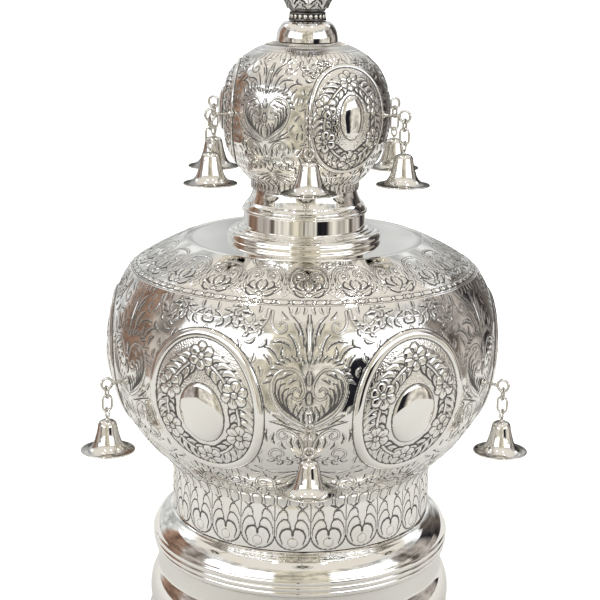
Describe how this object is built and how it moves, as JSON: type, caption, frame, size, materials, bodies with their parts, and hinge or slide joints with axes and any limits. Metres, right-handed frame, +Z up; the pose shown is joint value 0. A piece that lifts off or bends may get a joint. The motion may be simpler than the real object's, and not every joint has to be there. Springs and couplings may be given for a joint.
{
  "type": "double-bulb bell ornament",
  "caption": "Hollow double-bulb ceremonial ornament of chased silver on a spun base, with small bells hanging from link chains on rod arms around both bulbs.",
  "frame": {"origin": "centre of the foot ring's underside, on the vertical axis through both bulbs", "axes": "+Z up along that axis; the front, with a bell on its centre line, looks along -Y; +X is to the right seen from the front"},
  "size_m": [0.2192, 0.249, 0.352],
  "materials": {
    "polished_silver": "mirror-polished silver",
    "chased_silver": "bright silver, chased and repousse, darkened in the cut lines",
    "oxidised_silver": "cast silver, blackened in the recesses",
    "steel": "plain turned"
  },
  "bodies": {
    "root": {"foot_ring": "polished_silver", "spun_base": "polished_silver", "leaf_gallery": "chased_silver", "main_bulb": "chased_silver", "neck": "polished_silver", "upper_bulb": "chased_silver", "cap_dome": "polished_silver", "beaded_collar": "oxidised_silver", "finial": "oxidised_silver", "tie_rod": "steel", "upper_front_arm": "polished_silver", "upper_front_right_arm": "polished_silver", "upper_back_right_arm": "polished_silver", "upper_back_arm": "polished_silver", "upper_back_left_arm": "polished_silver", "upper_front_left_arm": "polished_silver", "lower_front_arm": "polished_silver", "lower_front_right_arm": "polished_silver", "lower_back_arm": "polished_silver", "lower_front_left_arm": "polished_silver"},
    "upper_front_link_1": {"upper_front_link_1": "polished_silver"},
    "upper_front_link_2": {"upper_front_link_2": "polished_silver"},
    "upper_front_bell": {"upper_front_bell": "polished_silver"},
    "upper_front_clapper": {"upper_front_clapper": "polished_silver"},
    "upper_front_right_link_1": {"upper_front_right_link_1": "polished_silver"},
    "upper_front_right_link_2": {"upper_front_right_link_2": "polished_silver"},
    "upper_front_right_bell": {"upper_front_right_bell": "polished_silver"},
    "upper_front_right_clapper": {"upper_front_right_clapper": "polished_silver"},
    "upper_back_right_link_1": {"upper_back_right_link_1": "polished_silver"},
    "upper_back_right_link_2": {"upper_back_right_link_2": "polished_silver"},
    "upper_back_right_bell": {"upper_back_right_bell": "polished_silver"},
    "upper_back_right_clapper": {"upper_back_right_clapper": "polished_silver"},
    "upper_back_link_1": {"upper_back_link_1": "polished_silver"},
    "upper_back_link_2": {"upper_back_link_2": "polished_silver"},
    "upper_back_bell": {"upper_back_bell": "polished_silver"},
    "upper_back_clapper": {"upper_back_clapper": "polished_silver"},
    "upper_back_left_link_1": {"upper_back_left_link_1": "polished_silver"},
    "upper_back_left_link_2": {"upper_back_left_link_2": "polished_silver"},
    "upper_back_left_bell": {"upper_back_left_bell": "polished_silver"},
    "upper_back_left_clapper": {"upper_back_left_clapper": "polished_silver"},
    "upper_front_left_link_1": {"upper_front_left_link_1": "polished_silver"},
    "upper_front_left_link_2": {"upper_front_left_link_2": "polished_silver"},
    "upper_front_left_bell": {"upper_front_left_bell": "polished_silver"},
    "upper_front_left_clapper": {"upper_front_left_clapper": "polished_silver"},
    "lower_front_link_1": {"lower_front_link_1": "polished_silver"},
    "lower_front_link_2": {"lower_front_link_2": "polished_silver"},
    "lower_front_bell": {"lower_front_bell": "polished_silver"},
    "lower_front_clapper": {"lower_front_clapper": "polished_silver"},
    "lower_front_right_link_1": {"lower_front_right_link_1": "polished_silver"},
    "lower_front_right_link_2": {"lower_front_right_link_2": "polished_silver"},
    "lower_front_right_bell": {"lower_front_right_bell": "polished_silver"},
    "lower_front_right_clapper": {"lower_front_right_clapper": "polished_silver"},
    "lower_back_link_1": {"lower_back_link_1": "polished_silver"},
    "lower_back_link_2": {"lower_back_link_2": "polished_silver"},
    "lower_back_bell": {"lower_back_bell": "polished_silver"},
    "lower_back_clapper": {"lower_back_clapper": "polished_silver"},
    "lower_front_left_link_1": {"lower_front_left_link_1": "polished_silver"},
    "lower_front_left_link_2": {"lower_front_left_link_2": "polished_silver"},
    "lower_front_left_bell": {"lower_front_left_bell": "polished_silver"},
    "lower_front_left_clapper": {"lower_front_left_clapper": "polished_silver"}
  },
  "joints": [
    {"name": "upper_front_link_1_swing", "type": "hinge", "parent": "root", "child": "upper_front_link_1", "pos_m": [0, -0.0543, 0.2675], "axis": [0, -1, 0], "range_deg": [-25, 25]},
    {"name": "upper_front_link_2_swing", "type": "hinge", "parent": "upper_front_link_1", "child": "upper_front_link_2", "pos_m": [0, -0.0543, 0.26325], "axis": [1, 0, 0], "range_deg": [-40, 12]},
    {"name": "upper_front_bell_swing", "type": "hinge", "parent": "upper_front_link_2", "child": "upper_front_bell", "pos_m": [0, -0.0543, 0.25665], "axis": [0, -1, 0], "range_deg": [-20, 20]},
    {"name": "upper_front_clapper_swing", "type": "hinge", "parent": "upper_front_bell", "child": "upper_front_clapper", "pos_m": [0, -0.0543, 0.24855], "axis": [1, 0, 0], "range_deg": [-26, 26]},
    {"name": "upper_front_right_link_1_swing", "type": "hinge", "parent": "root", "child": "upper_front_right_link_1", "pos_m": [0.04702, -0.02715, 0.2675], "axis": [0.866, -0.5, 0], "range_deg": [-25, 25]},
    {"name": "upper_front_right_link_2_swing", "type": "hinge", "parent": "upper_front_right_link_1", "child": "upper_front_right_link_2", "pos_m": [0.04702, -0.02715, 0.26325], "axis": [0.5, 0.866, 0], "range_deg": [-40, 12]},
    {"name": "upper_front_right_bell_swing", "type": "hinge", "parent": "upper_front_right_link_2", "child": "upper_front_right_bell", "pos_m": [0.04702, -0.02715, 0.25665], "axis": [0.866, -0.5, 0], "range_deg": [-20, 20]},
    {"name": "upper_front_right_clapper_swing", "type": "hinge", "parent": "upper_front_right_bell", "child": "upper_front_right_clapper", "pos_m": [0.04702, -0.02715, 0.24855], "axis": [0.5, 0.866, 0], "range_deg": [-26, 26]},
    {"name": "upper_back_right_link_1_swing", "type": "hinge", "parent": "root", "child": "upper_back_right_link_1", "pos_m": [0.04702, 0.02715, 0.2675], "axis": [0.866, 0.5, 0], "range_deg": [-25, 25]},
    {"name": "upper_back_right_link_2_swing", "type": "hinge", "parent": "upper_back_right_link_1", "child": "upper_back_right_link_2", "pos_m": [0.04702, 0.02715, 0.26325], "axis": [-0.5, 0.866, 0], "range_deg": [-40, 12]},
    {"name": "upper_back_right_bell_swing", "type": "hinge", "parent": "upper_back_right_link_2", "child": "upper_back_right_bell", "pos_m": [0.04702, 0.02715, 0.25665], "axis": [0.866, 0.5, 0], "range_deg": [-20, 20]},
    {"name": "upper_back_right_clapper_swing", "type": "hinge", "parent": "upper_back_right_bell", "child": "upper_back_right_clapper", "pos_m": [0.04702, 0.02715, 0.24855], "axis": [-0.5, 0.866, 0], "range_deg": [-26, 26]},
    {"name": "upper_back_link_1_swing", "type": "hinge", "parent": "root", "child": "upper_back_link_1", "pos_m": [0, 0.0543, 0.2675], "axis": [0, 1, 0], "range_deg": [-25, 25]},
    {"name": "upper_back_link_2_swing", "type": "hinge", "parent": "upper_back_link_1", "child": "upper_back_link_2", "pos_m": [0, 0.0543, 0.26325], "axis": [-1, 0, 0], "range_deg": [-40, 12]},
    {"name": "upper_back_bell_swing", "type": "hinge", "parent": "upper_back_link_2", "child": "upper_back_bell", "pos_m": [0, 0.0543, 0.25665], "axis": [0, 1, 0], "range_deg": [-20, 20]},
    {"name": "upper_back_clapper_swing", "type": "hinge", "parent": "upper_back_bell", "child": "upper_back_clapper", "pos_m": [0, 0.0543, 0.24855], "axis": [-1, 0, 0], "range_deg": [-26, 26]},
    {"name": "upper_back_left_link_1_swing", "type": "hinge", "parent": "root", "child": "upper_back_left_link_1", "pos_m": [-0.04702, 0.02715, 0.2675], "axis": [-0.866, 0.5, 0], "range_deg": [-25, 25]},
    {"name": "upper_back_left_link_2_swing", "type": "hinge", "parent": "upper_back_left_link_1", "child": "upper_back_left_link_2", "pos_m": [-0.04702, 0.02715, 0.26325], "axis": [-0.5, -0.866, 0], "range_deg": [-40, 12]},
    {"name": "upper_back_left_bell_swing", "type": "hinge", "parent": "upper_back_left_link_2", "child": "upper_back_left_bell", "pos_m": [-0.04702, 0.02715, 0.25665], "axis": [-0.866, 0.5, 0], "range_deg": [-20, 20]},
    {"name": "upper_back_left_clapper_swing", "type": "hinge", "parent": "upper_back_left_bell", "child": "upper_back_left_clapper", "pos_m": [-0.04702, 0.02715, 0.24855], "axis": [-0.5, -0.866, 0], "range_deg": [-26, 26]},
    {"name": "upper_front_left_link_1_swing", "type": "hinge", "parent": "root", "child": "upper_front_left_link_1", "pos_m": [-0.04702, -0.02715, 0.2675], "axis": [-0.866, -0.5, 0], "range_deg": [-25, 25]},
    {"name": "upper_front_left_link_2_swing", "type": "hinge", "parent": "upper_front_left_link_1", "child": "upper_front_left_link_2", "pos_m": [-0.04702, -0.02715, 0.26325], "axis": [0.5, -0.866, 0], "range_deg": [-40, 12]},
    {"name": "upper_front_left_bell_swing", "type": "hinge", "parent": "upper_front_left_link_2", "child": "upper_front_left_bell", "pos_m": [-0.04702, -0.02715, 0.25665], "axis": [-0.866, -0.5, 0], "range_deg": [-20, 20]},
    {"name": "upper_front_left_clapper_swing", "type": "hinge", "parent": "upper_front_left_bell", "child": "upper_front_left_clapper", "pos_m": [-0.04702, -0.02715, 0.24855], "axis": [0.5, -0.866, 0], "range_deg": [-26, 26]},
    {"name": "lower_front_link_1_swing", "type": "hinge", "parent": "root", "child": "lower_front_link_1", "pos_m": [0, -0.1111, 0.1404], "axis": [0, -1, 0], "range_deg": [-25, 25]},
    {"name": "lower_front_link_2_swing", "type": "hinge", "parent": "lower_front_link_1", "child": "lower_front_link_2", "pos_m": [0, -0.1111, 0.13615], "axis": [1, 0, 0], "range_deg": [-40, 12]},
    {"name": "lower_front_bell_swing", "type": "hinge", "parent": "lower_front_link_2", "child": "lower_front_bell", "pos_m": [0, -0.1111, 0.12955], "axis": [0, -1, 0], "range_deg": [-20, 20]},
    {"name": "lower_front_clapper_swing", "type": "hinge", "parent": "lower_front_bell", "child": "lower_front_clapper", "pos_m": [0, -0.1111, 0.12145], "axis": [1, 0, 0], "range_deg": [-26, 26]},
    {"name": "lower_front_right_link_1_swing", "type": "hinge", "parent": "root", "child": "lower_front_right_link_1", "pos_m": [0.09621, -0.05555, 0.1404], "axis": [0.866, -0.5, 0], "range_deg": [-25, 25]},
    {"name": "lower_front_right_link_2_swing", "type": "hinge", "parent": "lower_front_right_link_1", "child": "lower_front_right_link_2", "pos_m": [0.09621, -0.05555, 0.13615], "axis": [0.5, 0.866, 0], "range_deg": [-40, 12]},
    {"name": "lower_front_right_bell_swing", "type": "hinge", "parent": "lower_front_right_link_2", "child": "lower_front_right_bell", "pos_m": [0.09621, -0.05555, 0.12955], "axis": [0.866, -0.5, 0], "range_deg": [-20, 20]},
    {"name": "lower_front_right_clapper_swing", "type": "hinge", "parent": "lower_front_right_bell", "child": "lower_front_right_clapper", "pos_m": [0.09621, -0.05555, 0.12145], "axis": [0.5, 0.866, 0], "range_deg": [-26, 26]},
    {"name": "lower_back_link_1_swing", "type": "hinge", "parent": "root", "child": "lower_back_link_1", "pos_m": [0, 0.1111, 0.1404], "axis": [0, 1, 0], "range_deg": [-25, 25]},
    {"name": "lower_back_link_2_swing", "type": "hinge", "parent": "lower_back_link_1", "child": "lower_back_link_2", "pos_m": [0, 0.1111, 0.13615], "axis": [-1, 0, 0], "range_deg": [-40, 12]},
    {"name": "lower_back_bell_swing", "type": "hinge", "parent": "lower_back_link_2", "child": "lower_back_bell", "pos_m": [0, 0.1111, 0.12955], "axis": [0, 1, 0], "range_deg": [-20, 20]},
    {"name": "lower_back_clapper_swing", "type": "hinge", "parent": "lower_back_bell", "child": "lower_back_clapper", "pos_m": [0, 0.1111, 0.12145], "axis": [-1, 0, 0], "range_deg": [-26, 26]},
    {"name": "lower_front_left_link_1_swing", "type": "hinge", "parent": "root", "child": "lower_front_left_link_1", "pos_m": [-0.09621, -0.05555, 0.1404], "axis": [-0.866, -0.5, 0], "range_deg": [-25, 25]},
    {"name": "lower_front_left_link_2_swing", "type": "hinge", "parent": "lower_front_left_link_1", "child": "lower_front_left_link_2", "pos_m": [-0.09621, -0.05555, 0.13615], "axis": [0.5, -0.866, 0], "range_deg": [-40, 12]},
    {"name": "lower_front_left_bell_swing", "type": "hinge", "parent": "lower_front_left_link_2", "child": "lower_front_left_bell", "pos_m": [-0.09621, -0.05555, 0.12955], "axis": [-0.866, -0.5, 0], "range_deg": [-20, 20]},
    {"name": "lower_front_left_clapper_swing", "type": "hinge", "parent": "lower_front_left_bell", "child": "lower_front_left_clapper", "pos_m": [-0.09621, -0.05555, 0.12145], "axis": [0.5, -0.866, 0], "range_deg": [-26, 26]}
  ]
}
